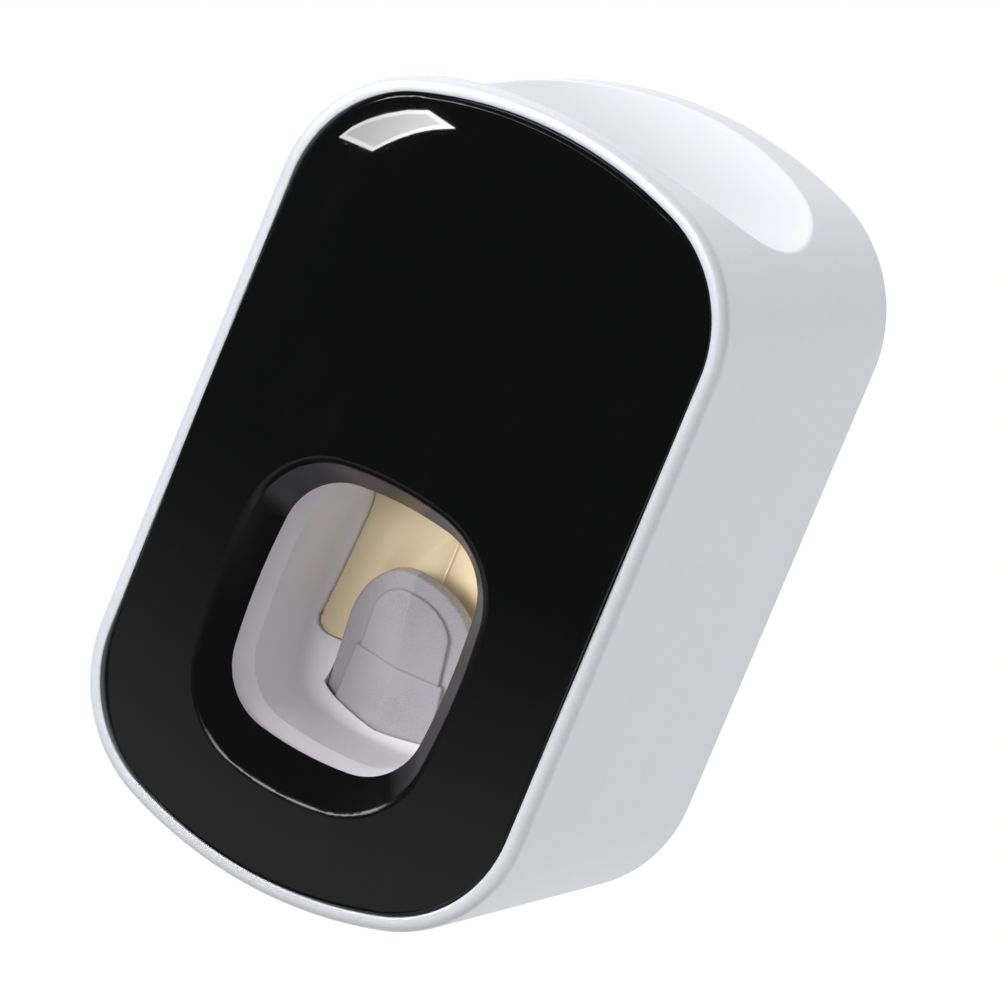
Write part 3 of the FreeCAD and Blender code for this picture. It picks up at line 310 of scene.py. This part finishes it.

# %% [markdown]
# ## Lilac lining, lever and the other plastics
# The lining and the lever are moulded in a grey with a lilac cast, but the lining's grey is painted
# much lighter than the lever's: painted light, standing in for light that the hollow of the lining
# lacks. The hidden pump carries plain natural white, the back a grained grey. All are the same graph
# with other numbers, so they sit in one cell, as samples would on a card.

# %% Moulded plastics and rubbers
plastics = {
    # Painted light: the lining's grey is lifted far above the lever's, standing in for light that its
    # hollow lacks.
    "lilac_liner": {"light": (0.790, 0.774, 0.815, 1), "dark": (0.760, 0.742, 0.784, 1), "gloss": 0.30,
                    "gloss_drift": 0.08, "grain_scale": 5200.0, "grain_depth": 0.009 * MM},
    "lilac_lever": {"light": (0.330, 0.319, 0.345, 1), "dark": (0.306, 0.294, 0.320, 1), "gloss": 0.28,
                    "gloss_drift": 0.08, "grain_scale": 5200.0, "grain_depth": 0.005 * MM,
                    "edge": 0.6 * MM},
    "frame_white": {"light": (0.790, 0.785, 0.765, 1), "dark": (0.740, 0.735, 0.712, 1), "gloss": 0.46,
                    "gloss_drift": 0.10, "grain_scale": 3800.0, "grain_depth": 0.014 * MM},
    "socket_white": {"light": (0.800, 0.802, 0.825, 1), "dark": (0.765, 0.768, 0.792, 1), "gloss": 0.26,
                     "gloss_drift": 0.06, "grain_scale": 4600.0, "grain_depth": 0.006 * MM},
    "cover_grey": {"light": (0.500, 0.508, 0.525, 1), "dark": (0.452, 0.460, 0.476, 1), "gloss": 0.52,
                   "gloss_drift": 0.12, "grain_scale": 2400.0, "grain_depth": 0.04 * MM},
    "plate_white": {"light": (0.800, 0.800, 0.795, 1), "dark": (0.760, 0.760, 0.752, 1), "gloss": 0.50,
                    "gloss_drift": 0.12, "grain_scale": 2400.0, "grain_depth": 0.035 * MM},
    "tan_silicone": {"light": (0.815, 0.688, 0.468, 1), "dark": (0.770, 0.642, 0.428, 1), "gloss": 0.52,
                     "gloss_drift": 0.10, "grain_scale": 3000.0, "grain_depth": 0.016 * MM,
                     "Subsurface Weight": 0.12, "Subsurface Scale": 1.5 * MM},
    "soft_white": {"light": (0.800, 0.795, 0.770, 1), "dark": (0.760, 0.752, 0.722, 1), "gloss": 0.44,
                   "gloss_drift": 0.10, "grain_scale": 3000.0, "grain_depth": 0.012 * MM,
                   "Subsurface Weight": 0.25, "Subsurface Scale": 2.0 * MM},
}
for name, values in plastics.items():
    finishes[name] = moulded(name, **values)
print("moulded finishes:", sorted(finishes))

# %% [markdown]
# ## Steel and foam
# The pin, screws, clip and spring are plain drawn or turned steel, so their grain is a noise
# stretched along one way. The tape behind the wall plate is closed-cell foam: rounded cells whose
# walls show as thin lighter lines, which a Voronoi texture gives directly.

# %% Steel
drawing_line_depth = 0.005 * MM
material, nodes = finish_graph("drawn_steel")
where = place(nodes, stretch=(1, 1, 0.08))
lines = noise(nodes, where, 7000.0, detail=3.0, roughness=0.7)
stain = noise(nodes, place(nodes), 500.0, detail=4.0)
color = nodes.mix(nodes.step(stain, 0.35, 0.75), (0.560, 0.560, 0.565, 1), (0.640, 0.636, 0.630, 1))
close(nodes, nodes.node("ShaderNodeBsdfPrincipled", {}, {
    "Base Color": color, "Metallic": 1.0, "Roughness": 0.24 + lines * 0.16 + (stain - 0.5) * 0.08,
    "Normal": bump(nodes, lines, drawing_line_depth)}))
finishes["steel"] = material
print("steel:", len(material.node_tree.nodes), "nodes")

# %% Foam
foam_cells_per_metre = 3200.0
foam_cell_depth = 0.05 * MM
material, nodes = finish_graph("foam_tape")
where = place(nodes)
walls = nodes.node("ShaderNodeTexVoronoi", {"feature": "DISTANCE_TO_EDGE"},
                   {"Vector": where, "Scale": foam_cells_per_metre})
cell = nodes.step(walls, 0.02, 0.20)
drift = noise(nodes, where, 300.0, detail=3.0)
color = nodes.mix(cell * 0.6 + drift * 0.4, (0.800, 0.798, 0.780, 1), (0.640, 0.636, 0.610, 1))
close(nodes, nodes.node("ShaderNodeBsdfPrincipled", {}, {
    "Base Color": color, "Roughness": 0.72 + (drift - 0.5) * 0.12,
    "Normal": bump(nodes, 1 - cell, foam_cell_depth)}))
finishes["foam_tape"] = material
print("foam:", len(material.node_tree.nodes), "nodes")

# %% [markdown]
# ## Dressing the pieces
# The record of the part names a material slot for every piece, so the finishes can be handed out by
# name. Picking each object and its material by hand would do the same, but a list that already exists
# can't go stale.

# %% Dress the CAD nodes
slots = {part["node"]: part["material_slot"] for part in frame["record"]["subparts"]}
for name, node in frame["nodes"].items():
    node.data.materials.clear()
    node.data.materials.append(finishes[slots[name]])
print("dressed:", len(slots), "CAD nodes with", len(finishes), "finishes")

# %% [markdown]
# ## The pump bulb
# Behind the lever sits a flat tan silicone bag. When the lever is pushed its pad flattens the bag,
# so the bag has to be one soft piece that squashes, while its two necks stay put, held by the duct
# and the nozzle. The bag starts as a block whose corners and then rims are bevelled. Its raised
# front fits the opening of the lining to a hair, so that part is taken from a copy of the CAD bulb,
# closed behind and united with the block by a Boolean modifier. Joining the two would be simpler, but
# it would leave walls inside the bag. Two cuts on the middle plane then leave a strip that is pushed
# out: the mould's parting line.

# %% Opening a piece
same_spot = 0.001 * MM


def deselect():
    bpy.ops.object.select_all(action="DESELECT")


def begin(name, slot):
    """Names the piece that was just added and opens it for editing."""
    piece = bpy.context.object
    piece.name = name
    piece.data.name = name
    bpy.ops.object.transform_apply(location=True, rotation=True, scale=True)
    piece.data.materials.clear()
    piece.data.materials.append(finishes[slot])
    bpy.ops.object.mode_set(mode="EDIT")
    return piece


# %% Picking by place
def pick_edges(piece, wanted):
    """Leaves selected only the edges whose two ends satisfy wanted."""
    bpy.ops.mesh.select_mode(type="EDGE")
    bpy.ops.mesh.select_all(action="DESELECT")
    mesh = bmesh.from_edit_mesh(piece.data)
    for edge in mesh.edges:
        edge.select_set(wanted(edge.verts[0].co, edge.verts[1].co))
    bmesh.update_edit_mesh(piece.data)


def pick_faces(piece, wanted):
    """Leaves selected only the faces whose middle and normal satisfy wanted."""
    bpy.ops.mesh.select_mode(type="FACE")
    bpy.ops.mesh.select_all(action="DESELECT")
    mesh = bmesh.from_edit_mesh(piece.data)
    mesh.normal_update()
    for face in mesh.faces:
        face.select_set(wanted(face.calc_center_median(), face.normal))
    bmesh.update_edit_mesh(piece.data)


# %% Closing a piece
def end(piece, smooth_deg=35.0):
    """Closes the edit with clean normals and smooth shading, and says what was made."""
    bpy.ops.mesh.select_all(action="SELECT")
    bpy.ops.mesh.remove_doubles(threshold=same_spot)
    bpy.ops.mesh.normals_make_consistent(inside=False)
    bpy.ops.object.mode_set(mode="OBJECT")
    bpy.ops.object.shade_smooth_by_angle(angle=math.radians(smooth_deg))
    deselect()
    print(piece.name + ":", len(piece.data.polygons), "faces")


# %% Sizes of the bag
bag_half_width = 17.0 * MM
bag_low_z = -30.0 * MM
bag_high_z = 15.0 * MM
bag_front_y = -30.0 * MM
bag_back_y = -17.0 * MM
bag_corner = 12.0 * MM
bag_round = 4.9 * MM
parting_half_width = 0.14 * MM
parting_rise = 0.14 * MM
bag_middle = (0, (bag_front_y + bag_back_y) / 2, (bag_low_z + bag_high_z) / 2)
bag_size = (2 * bag_half_width, bag_back_y - bag_front_y, bag_high_z - bag_low_z)
print("bag:", [round(side / MM, 1) for side in bag_size], "mm")

# %% The bag
deselect()
bpy.ops.mesh.primitive_cube_add(size=1, location=bag_middle, scale=bag_size)
bag = begin("bulb_bag", "tan_silicone")
pick_edges(bag, lambda a, b: abs(a.y - b.y) > bag_round)
bpy.ops.mesh.bevel(offset=bag_corner, segments=12, affect="EDGES")
pick_edges(bag, lambda a, b: abs(a.y - b.y) < same_spot)
bpy.ops.mesh.bevel(offset=bag_round, segments=8, affect="EDGES")
bpy.ops.object.mode_set(mode="OBJECT")
print("bag:", len(bag.data.polygons), "faces")

# %% A copy of the CAD bulb
deselect()
front = frame["nodes"]["pump_bulb"].copy()
front.data = front.data.copy()
front.parent = None
bpy.context.collection.objects.link(front)
front.select_set(True)
bpy.context.view_layer.objects.active = front
bpy.ops.object.mode_set(mode="EDIT")
bpy.ops.mesh.select_all(action="SELECT")
bpy.ops.mesh.remove_doubles(threshold=same_spot)

# %% Its raised front alone
front_root_y = bag_front_y + 0.6 * MM
front_land_y = bag_front_y - 0.05 * MM
front_top_z = -2.9 * MM
front_root_depth = 1.0 * MM


def not_raised(middle, normal):
    """Faces of the bulb behind the raised front, above it, or on the flat round it."""
    on_flat = normal.y < -0.99 and middle.y > front_land_y
    return middle.y > front_root_y or middle.z > front_top_z or on_flat


pick_faces(front, not_raised)
bpy.ops.mesh.delete(type="FACE")
bpy.ops.mesh.select_mode(type="EDGE")
bpy.ops.mesh.select_non_manifold(extend=False)
bpy.ops.mesh.extrude_region_move(TRANSFORM_OT_translate={"value": (0, front_root_depth, 0)})
bpy.ops.mesh.edge_face_add()
bpy.ops.mesh.select_all(action="SELECT")
bpy.ops.mesh.normals_make_consistent(inside=False)
bpy.ops.object.mode_set(mode="OBJECT")
print("raised front:", len(front.data.polygons), "faces")

# %% Unite the two
deselect()
bag.select_set(True)
bpy.context.view_layer.objects.active = bag
union = bag.modifiers.new("raised_front", "BOOLEAN")
union.operation = "UNION"
union.solver = "MANIFOLD"
union.object = front
bpy.ops.object.modifier_apply(modifier="raised_front")
bpy.data.objects.remove(front)
bpy.ops.object.mode_set(mode="EDIT")
bpy.ops.mesh.select_all(action="SELECT")
bpy.ops.mesh.quads_convert_to_tris()
bpy.ops.mesh.remove_doubles(threshold=same_spot)
bpy.ops.mesh.select_all(action="DESELECT")
bpy.ops.mesh.select_mode(type="FACE")
bpy.ops.mesh.select_interior_faces()
bpy.ops.mesh.delete(type="FACE")

# %% Raise the parting line
for side in (-1, 1):
    bpy.ops.mesh.select_all(action="SELECT")
    bpy.ops.mesh.bisect(plane_co=(side * parting_half_width, 0, 0), plane_no=(1, 0, 0))
pick_faces(bag, lambda middle, normal: abs(middle.x) < parting_half_width)
bpy.ops.mesh.extrude_region_shrink_fatten(TRANSFORM_OT_shrink_fatten={"value": parting_rise})
end(bag)
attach(bag, "dispenser")
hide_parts("pump_bulb")
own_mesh(bag)

# %% [markdown]
# ## The bag's necks
# A neck on top takes the feed duct and a spout in front feeds the nozzle. Both are short thick
# collars of the same silicone. A Boolean cut would do, but plain mesh steps give cleaner faces: each
# collar starts as a closed cylinder, its two end faces are inset, the inset faces are bridged, which
# makes the bore, and the sharp rims are bevelled.

# %% A collar
collar_segments = 48
collar_rim = 0.4 * MM


def collar(name, middle, length, outer, bore, turn):
    """An open tube with rounded rims: the outer wall, a land at each end and the bore."""
    deselect()
    bpy.ops.mesh.primitive_cylinder_add(vertices=collar_segments, radius=outer, depth=length,
                                        location=middle, rotation=turn)
    piece = begin(name, "tan_silicone")
    way = Vector((0, 0, 1))
    way.rotate(Euler(turn))
    pick_faces(piece, lambda middle, normal: abs(normal.dot(way)) > 0.9)
    bpy.ops.mesh.inset(thickness=outer - bore, use_individual=True)
    bpy.ops.mesh.bridge_edge_loops()
    pick_edges(piece, lambda a, b: abs((a - b).dot(way)) < same_spot)
    bpy.ops.mesh.bevel(offset=collar_rim, segments=3, affect="EDGES")
    end(piece)
    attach(piece, "dispenser")
    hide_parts("pump_bulb")


# %% Neck and spout
neck_place = (0, bag_middle[1], 16.2 * MM)
neck_length = 5.6 * MM
neck_radius = 7.05 * MM
neck_bore_radius = 5.55 * MM
collar("bulb_neck", neck_place, neck_length, neck_radius, neck_bore_radius, (0, 0, 0))

spout_place = (0, -27.1 * MM, 8.0 * MM)
spout_length = 14.2 * MM
spout_radius = 5.15 * MM
spout_bore_radius = 3.65 * MM
collar("bulb_spout", spout_place, spout_length, spout_radius, spout_bore_radius, (math.pi / 2, 0, 0))

# %% [markdown]
# ## The return spring
# A torsion spring sits round the pin. Its coil and one leg stay with the shell, and the other leg
# leans on the lever and swings with it, so it is a piece of its own. The coil is a small circle, the
# wire's section, swept by a Screw modifier; the leg grows out of the coil's open end by extrusion.

# %% Sizes of the spring
pin_y = -29.9 * MM
pin_z = -41.4 * MM
coil_radius = 2.4 * MM
wire_radius = 0.35 * MM
wire_sides = 12
wire_end_bevel = 0.12 * MM
wire_smooth_deg = 50.0
coil_pitch = 1.3 * MM
full_turns = 3
coil_steps = 84
leg_length = 10.5 * MM
lever_lean = math.radians(11.5)
coil_turn = full_turns * 2 * math.pi + lever_lean + math.pi / 2
coil_half = coil_pitch * coil_turn / (4 * math.pi)
print("coil:", round(coil_turn / (2 * math.pi), 2), "turns")

# %% The coil
deselect()
bpy.ops.mesh.primitive_circle_add(vertices=wire_sides, radius=wire_radius,
                                  location=(-coil_half, 0, -coil_radius), rotation=(math.pi / 2, 0, 0))
coil = begin("spring_coil", "steel")
bpy.ops.object.mode_set(mode="OBJECT")
screw = coil.modifiers.new("coil", "SCREW")
screw.axis = "X"
screw.angle = coil_turn
screw.screw_offset = 2 * coil_half
screw.steps = coil_steps
screw.render_steps = coil_steps
bpy.ops.object.modifier_apply(modifier="coil")
low = min(vertex.co.x for vertex in coil.data.vertices)
high = max(vertex.co.x for vertex in coil.data.vertices)
print("coil from x", round(low / MM, 2), "to", round(high / MM, 2), "mm")

# %% Grow the fixed leg and cap the wire
wire_reach = wire_radius * 1.01


def on_first_rim(a, b):
    """Short edges round the wire's end at the low x side, under the pin."""
    near = max((a - b).length, abs(a.y), abs(b.y)) < wire_radius
    return near and max(a.z, b.z) < wire_reach - coil_radius and max(a.x, b.x) < wire_reach - coil_half


bpy.ops.object.mode_set(mode="EDIT")
pick_edges(coil, on_first_rim)
bpy.ops.mesh.extrude_region_move(TRANSFORM_OT_translate={"value": (0, -leg_length, 0)})
bpy.ops.mesh.select_all(action="SELECT")
bpy.ops.transform.translate(value=(0, pin_y, pin_z))
bpy.ops.mesh.select_all(action="DESELECT")
bpy.ops.mesh.select_mode(type="EDGE")
bpy.ops.mesh.select_non_manifold(extend=False)
bpy.ops.mesh.edge_face_add()
end(coil, wire_smooth_deg)
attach(coil, "dispenser")
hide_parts("return_spring")

# %% The leg behind the lever
leg_way = Vector((0, -math.sin(lever_lean), math.cos(lever_lean)))
leg_root = Vector((coil_half, pin_y + coil_radius * math.cos(lever_lean),
                   pin_z + coil_radius * math.sin(lever_lean)))
leg_middle = leg_root + leg_way * leg_length / 2
deselect()
bpy.ops.mesh.primitive_cylinder_add(vertices=wire_sides, radius=wire_radius, depth=leg_length,
                                    location=leg_middle, rotation=(lever_lean, 0, 0))
leg = begin("spring_leg", "steel")
pick_edges(leg, lambda a, b: abs((a - b).dot(leg_way)) < same_spot)
bpy.ops.mesh.bevel(offset=wire_end_bevel, segments=2, affect="EDGES")
end(leg, wire_smooth_deg)
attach(leg, "lever")
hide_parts("return_spring")

# %% [markdown]
# ## The adhesive pad
# Double-sided foam tape holds the wall plate. It is a thin slab with rounded corners whose faces
# are flat where they stick and whose cut edge bulges a little, as foam does when it is pressed.

# %% Foam tape
tape_low, tape_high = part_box("adhesive_pad")
tape_middle = (tape_low + tape_high) / 2
tape_size = tape_high - tape_low
tape_corner = 4.0 * MM
tape_bulge = 0.35 * MM
bulge_zone_share = 0.3
tape_flat = (tape_size.x - 2 * tape_bulge, tape_size.y, tape_size.z - 2 * tape_bulge)
deselect()
bpy.ops.mesh.primitive_cube_add(size=1, location=tape_middle, scale=tape_flat)
tape = begin("foam_tape", "foam_tape")
pick_edges(tape, lambda a, b: abs(a.y - b.y) > tape_size.y / 2)
bpy.ops.mesh.bevel(offset=tape_corner, segments=8, affect="EDGES")
pick_edges(tape, lambda a, b: abs(a.y - b.y) > tape_size.y / 2)
bpy.ops.mesh.subdivide(number_cuts=3)
pick_faces(tape, lambda middle, normal: abs(normal.y) < 0.5
           and abs(middle.y - tape_middle.y) < tape_size.y * bulge_zone_share)
bpy.ops.transform.shrink_fatten(value=tape_bulge)
end(tape)
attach(tape, "wall_mount")
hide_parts("adhesive_pad")

# %% [markdown]
# ## The studio
# The picture is a product shot on white. The background is white for the camera and for reflections
# that look behind the object; in front of it the room is dark, which is what makes the black front
# black. The world gives an even soft light. A key stands in front at the left with a fill beside it, a
# weaker fill stands at the right, and a broad panel hangs overhead.

# %% Kinds of rays
def ray(nodes, kind):
    """1 on rays of one kind and 0 on all others."""
    return nodes.node("ShaderNodeLightPath", {}, {}, output="Is %s Ray" % kind)


def larger(nodes, first, second):
    return nodes.node("ShaderNodeMath", {"operation": "MAXIMUM"}, {0: first, 1: second})


def mirrored_or_through(nodes):
    """1 on rays that come off a gloss or through a clear piece."""
    return larger(nodes, ray(nodes, "Glossy"), ray(nodes, "Transmission"))


# %% World
ambient_level = 0.42
dark_room_level = 0.09
low_glow_level = 0.36
strip_level = 9.0

world = bpy.data.worlds.new("studio")
world.use_nodes = True
bpy.context.scene.world = world
nodes = Nodes(world.node_tree)
direction = nodes.node("ShaderNodeTexCoord", {}, {}, output=0)
across = nodes.node("ShaderNodeSeparateXYZ", {}, {"Vector": direction}, output=0)
depth = nodes.node("ShaderNodeSeparateXYZ", {}, {"Vector": direction}, output=1)
height = nodes.node("ShaderNodeSeparateXYZ", {}, {"Vector": direction}, output=2)
down = 0 - height
low_glow = nodes.step(down, 0.22, 0.50) * (1 - nodes.step(down, 0.55, 0.75)) * low_glow_level
behind = nodes.step(depth, 0.15, 0.70)
strip = nodes.step(height, 0.16, 0.20) * (1 - nodes.step(height, 0.34, 0.40))
strip = strip * (1 - nodes.step(across, -0.25, 0.05)) * (1 - nodes.step(depth, -0.50, -0.20))
room = dark_room_level + low_glow + strip * strip_level
reflected = room + (1 - room) * behind
plain = ambient_level + (reflected - ambient_level) * mirrored_or_through(nodes)
level_of_light = plain + (1 - plain) * ray(nodes, "Camera")
background = nodes.node("ShaderNodeBackground", {}, {"Color": grey(1), "Strength": level_of_light})
nodes.node("ShaderNodeOutputWorld", {}, {"Surface": background})
print("world:", len(world.node_tree.nodes), "nodes")

# %% Floor
floor_middle = (0, 3.05, -0.35)
floor_size = (8, 6, 1)
deselect()
bpy.ops.mesh.primitive_plane_add(size=1, location=floor_middle, scale=floor_size)
floor = bpy.context.object
floor.name = "floor"
bpy.ops.object.transform_apply(location=True, rotation=True, scale=True)
material, nodes = finish_graph("pale_floor")
seen = larger(nodes, mirrored_or_through(nodes), ray(nodes, "Camera"))
sheet_grain = noise(nodes, place(nodes), 40.0, detail=3.0)
diffuse = nodes.node("ShaderNodeBsdfDiffuse", {}, {"Color": grey(0.85)})
glow = nodes.node("ShaderNodeEmission", {}, {"Color": grey(1), "Strength": 1.0})
share = seen * (0.74 + sheet_grain * 0.02)
close(nodes, nodes.node("ShaderNodeMixShader", {}, {0: share, 1: diffuse, 2: glow}))
floor.data.materials.append(material)

# %% Lamps
lamp_target = Vector((0, -0.03, 0))
white = (1, 1, 1)
cool_white = (0.97, 0.98, 1.0)


def softbox(name, where, width, height, power, color):
    lamp = bpy.data.lights.new(name, "AREA")
    lamp.shape = "RECTANGLE"
    lamp.size = width
    lamp.size_y = height
    lamp.energy = power
    lamp.color = color
    holder = bpy.data.objects.new(name, lamp)
    bpy.context.collection.objects.link(holder)
    holder.location = where
    holder.rotation_euler = (lamp_target - Vector(where)).to_track_quat("-Z", "Y").to_euler()
    holder.visible_glossy = False


softbox("key", (-0.85, -1.70, 0.30), width=0.6, height=0.6, power=21.0, color=white)
softbox("front_fill", (-0.25, -1.95, 0.25), width=0.5, height=0.5, power=18.0, color=white)
softbox("side_fill", (1.6, 0.2, -0.25), width=0.9, height=0.9, power=8.0, color=cool_white)
softbox("overhead", (-0.8, 0.1, 1.25), width=1.2, height=1.0, power=20.0, color=cool_white)
print("lamps:", [item.name for item in bpy.data.lights])

# %% [markdown]
# ## The highlight card
# On the black front, near the top left, the photograph shows the bent image of a pale panel in the
# studio, with a brighter frame round it. A lamp would also light the object, so this is a card that
# only reflections can see. Its corners lie where the sight lines end that bounce off the dome at the
# highlight's own corners.

# %% Card
card_distance = 1.2
card_border = 0.005
highlight_outline_mm = [
    (-26.97, 39.31), (-25.76, 41.27), (-24.18, 42.98), (-22.0, 44.78), (-19.34, 46.45),
    (-16.51, 47.71), (-14.19, 47.45), (-11.93, 47.24), (-14.64, 45.88), (-16.89, 44.39),
    (-18.7, 42.84), (-20.13, 41.38), (-21.5, 39.79), (-24.34, 39.56)]


def mirrored(x, z):
    """Where the camera's line of sight ends after it bounces off the dome at x, z."""
    half_x, half_y, half_z = dome_half_axes
    y = dome_middle[1] - half_y * math.sqrt(1 - (x / half_x) ** 2 - (z / half_z) ** 2)
    spot = Vector((x, y, z))
    normal = Vector((x / half_x ** 2, (y - dome_middle[1]) / half_y ** 2, z / half_z ** 2)).normalized()
    return spot + (spot - camera.location).normalized().reflect(normal) * card_distance


deselect()
bpy.ops.mesh.primitive_circle_add(vertices=len(highlight_outline_mm), radius=1, fill_type="NGON")
card = bpy.context.object
card.name = "highlight_card"
for vertex, (x, z) in zip(card.data.vertices, highlight_outline_mm):
    vertex.co = mirrored(x * MM, z * MM)
card_left = min(vertex.co.x for vertex in card.data.vertices)
card_right = max(vertex.co.x for vertex in card.data.vertices)
bpy.ops.object.mode_set(mode="EDIT")
bpy.ops.mesh.select_all(action="SELECT")
bpy.ops.mesh.inset(thickness=card_border)
bpy.ops.object.mode_set(mode="OBJECT")
print("card from x", round(card_left, 3), "to", round(card_right, 3), "m")

# %% What the card sends out
card_strengths = {"card_border": 22.0, "card_sheet": 14.5}
left_fade = 0.75
right_gain = 0.5
for name, strength in card_strengths.items():
    material, nodes = finish_graph(name)
    across = nodes.node("ShaderNodeSeparateXYZ", {}, {"Vector": place(nodes)}, output=0)
    fade = left_fade + nodes.step(across, card_left, card_right) * right_gain
    glow = nodes.node("ShaderNodeEmission", {}, {"Color": grey(1), "Strength": strength * fade})
    close(nodes, glow)
    card.data.materials.append(material)
for face in card.data.polygons:
    face.material_index = 1 if len(face.vertices) == len(highlight_outline_mm) else 0
card.visible_camera = False
card.visible_diffuse = False
card.visible_shadow = False
card.visible_transmission = False
